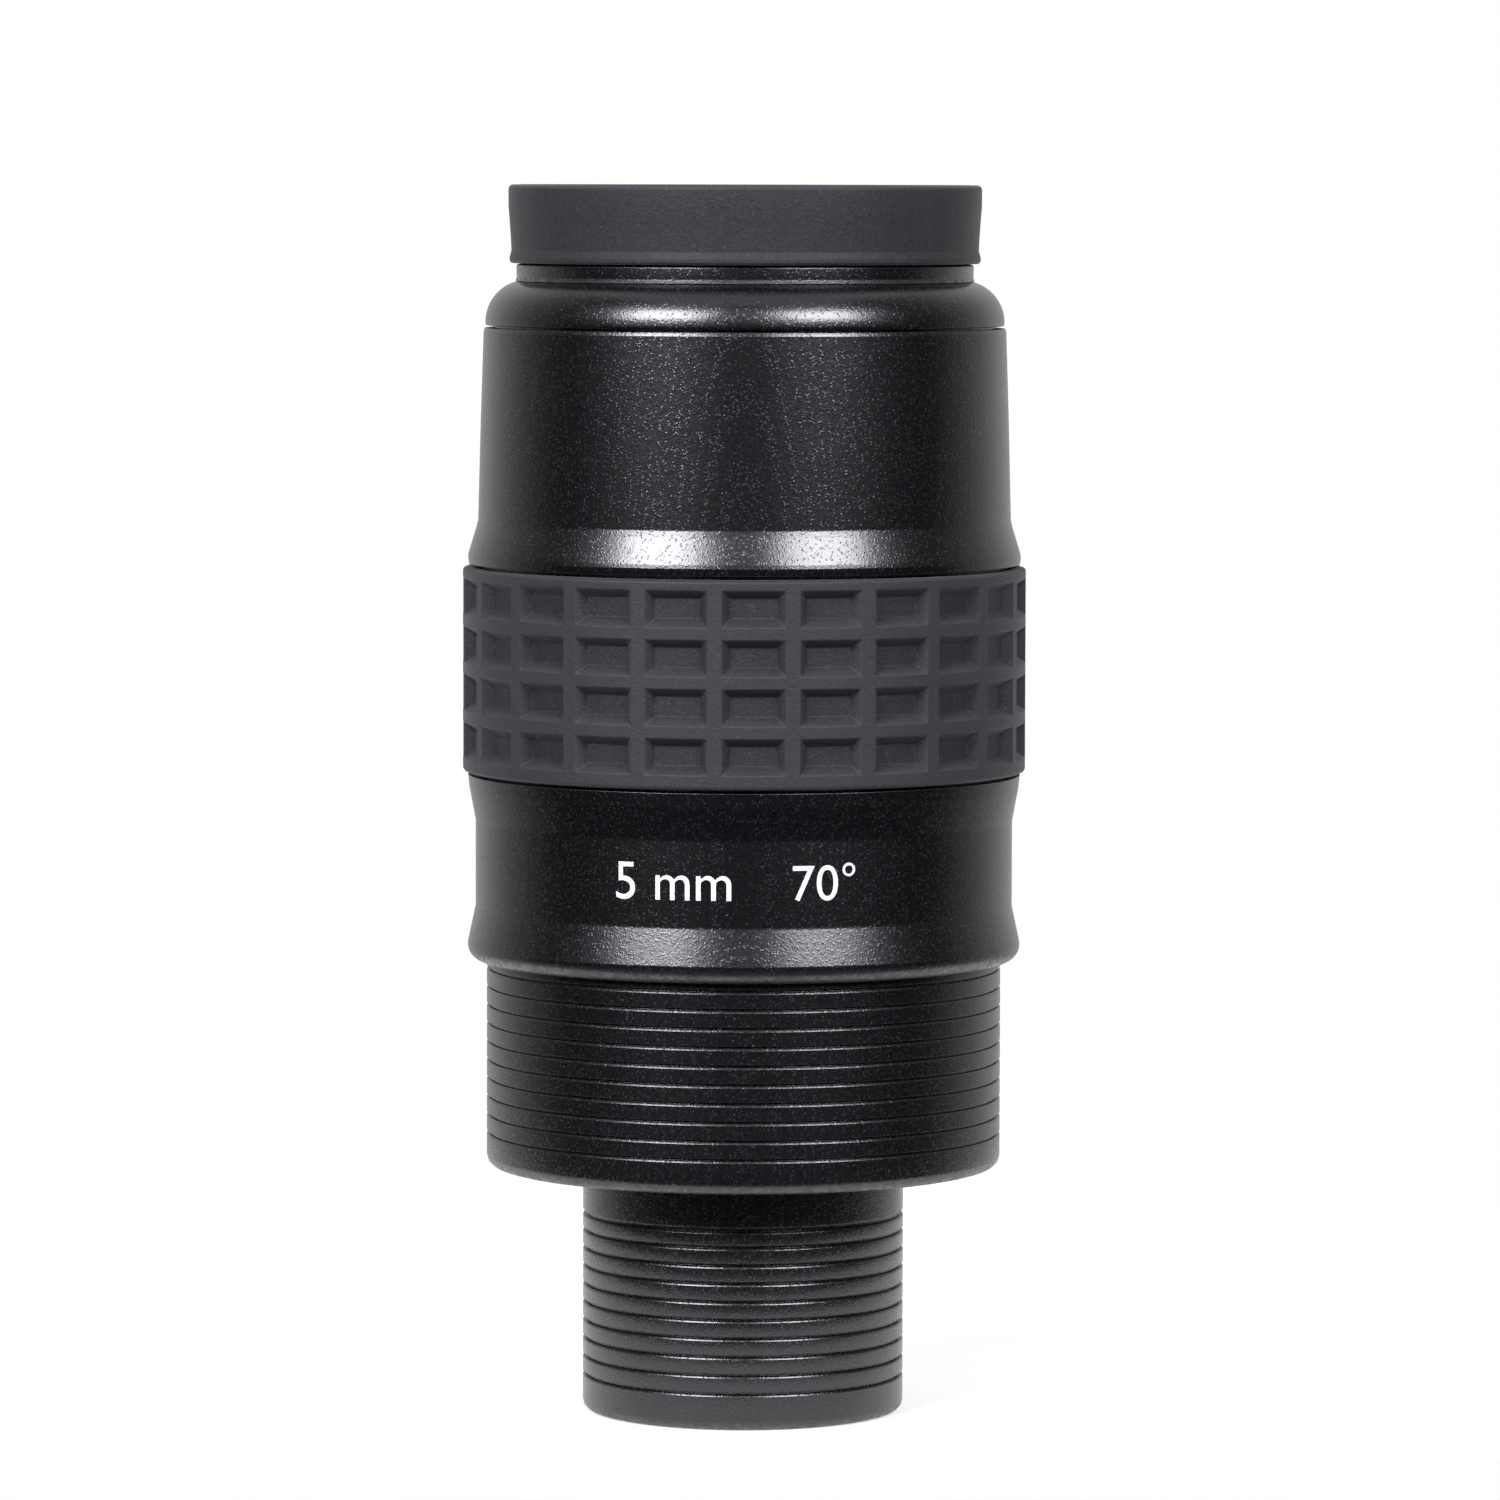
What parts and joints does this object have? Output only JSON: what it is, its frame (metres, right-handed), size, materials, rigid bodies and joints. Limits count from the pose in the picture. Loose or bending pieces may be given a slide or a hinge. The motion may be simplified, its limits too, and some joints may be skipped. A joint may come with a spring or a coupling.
{
  "type": "telescope eyepiece",
  "caption": "Wide-field telescope eyepiece with a fold-down rubber eye guard, rubber grip sleeve, and stepped push-in barrels on one optical axis.",
  "frame": {"origin": "centre of the nosepiece's open end, the lowest plane of the part, on the optical axis", "axes": "+Z along the optical axis towards the eye end; -Y is the side that carries the printed scale markings"},
  "size_m": [0.0554, 0.0554, 0.1212],
  "materials": {
    "anodised_aluminium": "bead-blasted, black anodised",
    "matt_black_aluminium": "matt black, light-absorbing",
    "eye_guard_rubber": "matt, soft",
    "grip_rubber": "matt, moulded with pockets",
    "coated_glass": "polished, multi-coated",
    "blackened_steel": "black oxide"
  },
  "bodies": {
    "housing": {"camera_thread_ring": "anodised_aluminium", "shoulder_ring": "anodised_aluminium", "upper_housing": "anodised_aluminium", "grip_sleeve": "grip_rubber", "lower_housing": "anodised_aluminium", "two_inch_barrel": "anodised_aluminium", "nosepiece": "anodised_aluminium", "lens_cell": "matt_black_aluminium", "eye_lens": "coated_glass", "eye_lens_retainer": "anodised_aluminium", "upper_doublet_crown": "coated_glass", "upper_doublet_flint": "coated_glass", "doublet_spacer": "matt_black_aluminium", "lower_doublet_crown": "coated_glass", "lower_doublet_flint": "coated_glass", "field_lens_spacer": "matt_black_aluminium", "field_lens": "coated_glass", "lens_group_retainer": "matt_black_aluminium", "lens_cell_lock_ring": "matt_black_aluminium", "baffle_tube": "matt_black_aluminium", "field_stop": "matt_black_aluminium", "smyth_cell": "matt_black_aluminium", "smyth_lens_upper": "coated_glass", "smyth_lens_lower": "coated_glass", "smyth_retainer": "matt_black_aluminium", "grub_screw_1": "blackened_steel", "grub_screw_2": "blackened_steel", "grub_screw_3": "blackened_steel"},
    "eye_guard": {"eye_guard_base": "eye_guard_rubber"},
    "eye_guard_fold_skirt": {"eye_guard_skirt": "eye_guard_rubber"}
  },
  "joints": [
    {"name": "eye_guard_lift", "type": "slide", "parent": "housing", "child": "eye_guard", "axis": [0, 0, 1], "range_m": [0, 0.009]},
    {"name": "eye_guard_fold", "type": "slide", "parent": "eye_guard", "child": "eye_guard_fold_skirt", "axis": [0, 0, 1], "range_m": [0, 0.0074]}
  ]
}
